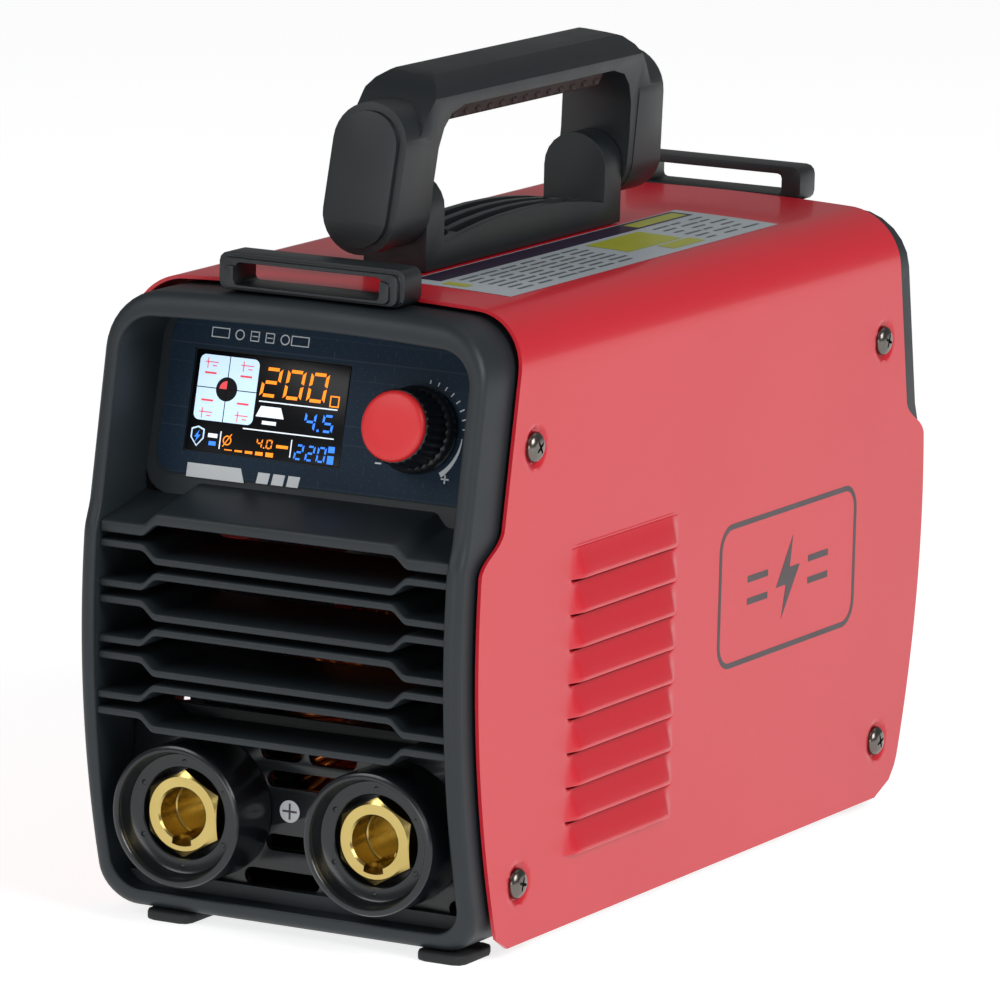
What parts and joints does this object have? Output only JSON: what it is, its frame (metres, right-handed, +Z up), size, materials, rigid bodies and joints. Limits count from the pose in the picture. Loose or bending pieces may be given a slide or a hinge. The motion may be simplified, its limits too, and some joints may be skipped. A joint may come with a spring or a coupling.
{
  "type": "stick welding inverter",
  "caption": "Portable stick welding power source: red louvred steel cover, dark plastic ends, leaning display panel with a knob, bayonet sockets and a fold-over carrying handle.",
  "frame": {"origin": "on the floor, under the middle of the case: halfway between the foremost point of the front rim and the end of the rear cable gland", "axes": "+Z up; the control end faces -Y; +X is to the right of someone who faces the controls"},
  "size_m": [0.1182, 0.2706, 0.2178],
  "materials": {
    "red_paint": "satin powder coat",
    "grey_abs": "fine texture",
    "gloss_black": "moulded, glossy",
    "red_abs": "satin",
    "soft_grip": "soft touch",
    "panel_film": "printed polyester film",
    "display_glass": "glossy",
    "label_film": "printed polyester film",
    "socket_brass": "machined",
    "zinc_steel": "zinc plated",
    "screw_steel": "nickel plated",
    "aluminium": "as extruded",
    "copper": "enamelled copper",
    "ferrite": "sintered",
    "foot_rubber": "moulded",
    "circuit_board": "solder mask",
    "black_wire": "black coat",
    "fan_black": "moulded",
    "black_nylon": "moulded nylon",
    "capacitor_sleeve": "sleeved can"
  },
  "bodies": {
    "case": {"base_tray": "zinc_steel", "bridge_rectifier": "gloss_black", "busbar_bolt_minus": "zinc_steel", "busbar_bolt_plus": "zinc_steel", "busbar_minus": "copper", "busbar_plus": "copper", "cable_gland": "black_nylon", "capacitor": "capacitor_sleeve", "control_board": "circuit_board", "control_overlay": "panel_film", "cover": "red_paint", "cover_screw_front_lower_left": "screw_steel", "cover_screw_front_lower_right": "screw_steel", "cover_screw_front_upper_left": "screw_steel", "cover_screw_front_upper_right": "screw_steel", "cover_screw_rear_lower_left": "screw_steel", "cover_screw_rear_lower_right": "screw_steel", "cover_screw_rear_upper_left": "screw_steel", "cover_screw_rear_upper_right": "screw_steel", "display_lens": "display_glass", "display_module": "aluminium", "encoder_body": "zinc_steel", "fan_frame": "fan_black", "fan_guard": "black_wire", "foot_front_left": "foot_rubber", "foot_front_right": "foot_rubber", "foot_rear_left": "foot_rubber", "foot_rear_right": "foot_rubber", "front_bezel": "grey_abs", "gland_nut": "black_nylon", "handle_base": "grey_abs", "handle_bolt_front": "screw_steel", "handle_bolt_rear": "screw_steel", "heatsink_left": "aluminium", "heatsink_middle": "aluminium", "main_board": "circuit_board", "output_choke": "copper", "rear_bezel": "grey_abs", "socket_brass_minus": "socket_brass", "socket_brass_plus": "socket_brass", "socket_collar_minus": "gloss_black", "socket_collar_plus": "gloss_black", "socket_nut_minus": "zinc_steel", "socket_nut_plus": "zinc_steel", "socket_plate": "gloss_black", "strap_loop_front": "grey_abs", "strap_loop_rear": "grey_abs", "switch_housing": "gloss_black", "top_label": "label_film", "transformer_core": "ferrite", "transformer_winding": "copper"},
    "handle": {"handle_bail": "grey_abs", "handle_grip": "soft_grip", "handle_pin_front": "screw_steel", "handle_pin_rear": "screw_steel"},
    "knob_shaft": {"encoder_shaft": "zinc_steel"},
    "knob": {"knob_body": "gloss_black", "knob_cap": "red_abs"},
    "rocker": {"switch_rocker": "red_abs"},
    "fan": {"fan_rotor": "fan_black"}
  },
  "joints": [
    {"name": "handle_fold", "type": "hinge", "parent": "case", "child": "handle", "pos_m": [0, -0.019, 0.1813], "axis": [0, 1, 0], "range_deg": [-94.6, 85.4]},
    {"name": "knob_push", "type": "slide", "parent": "case", "child": "knob_shaft", "axis": [0, 0.975, -0.2221], "range_m": [0, 0.0008], "stiffness_N_per_m": 600, "springref_m": -0.0005},
    {"name": "knob_turn", "type": "hinge", "parent": "knob_shaft", "child": "knob", "pos_m": [0.027, -0.10597, 0.132], "axis": [0, 0.975, -0.2221], "continuous": true},
    {"name": "power_rocker", "type": "hinge", "parent": "case", "child": "rocker", "pos_m": [0.024, 0.11, 0.13], "axis": [-1, 0, 0], "range_deg": [0, 28]},
    {"name": "fan_spin", "type": "hinge", "parent": "case", "child": "fan", "pos_m": [0, 0.097, 0.062], "axis": [0, 1, 0], "continuous": true}
  ]
}
